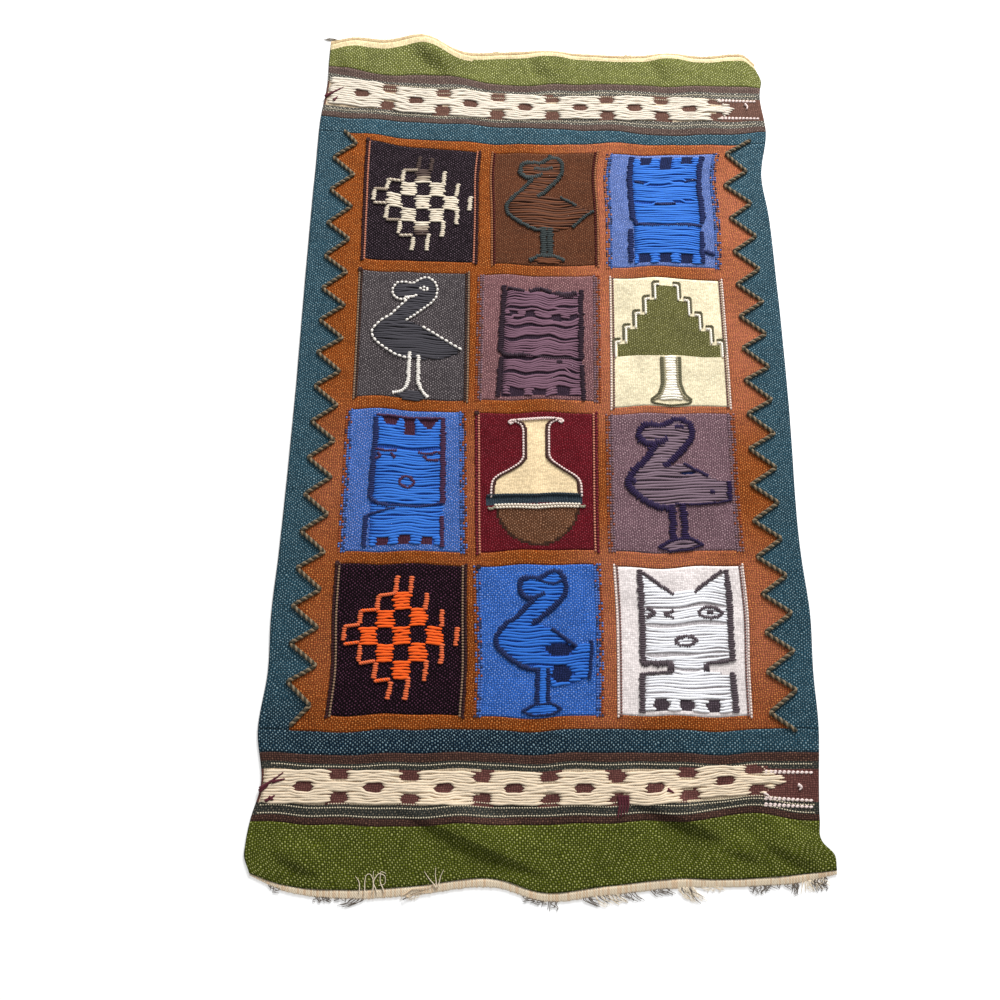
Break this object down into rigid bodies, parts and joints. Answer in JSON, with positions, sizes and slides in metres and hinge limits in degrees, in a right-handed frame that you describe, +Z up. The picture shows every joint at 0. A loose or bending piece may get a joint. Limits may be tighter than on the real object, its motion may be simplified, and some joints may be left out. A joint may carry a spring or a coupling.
{
  "type": "woven tapestry",
  "caption": "Flat-woven wool tapestry laid out flat, with banded ends, a toothed border round framed panels, soft creases near both ends and raw fringed headers.",
  "frame": {"origin": "centre of the bounding box, on the surface that the cloth lies on", "axes": "+Y along the warp from the near end to the narrower far end, +X across the cloth, +Z up through its face"},
  "size_m": [0.617, 1.0575, 0.0113],
  "materials": {
    "wool_web": "matt plain-woven wool with raised yarn floats",
    "bare_warp": "matt undyed ribbed warp"
  },
  "bodies": {
    "root": {"woven_cloth": "wool_web", "near_header": "bare_warp", "far_header": "bare_warp"}
  },
  "joints": []
}
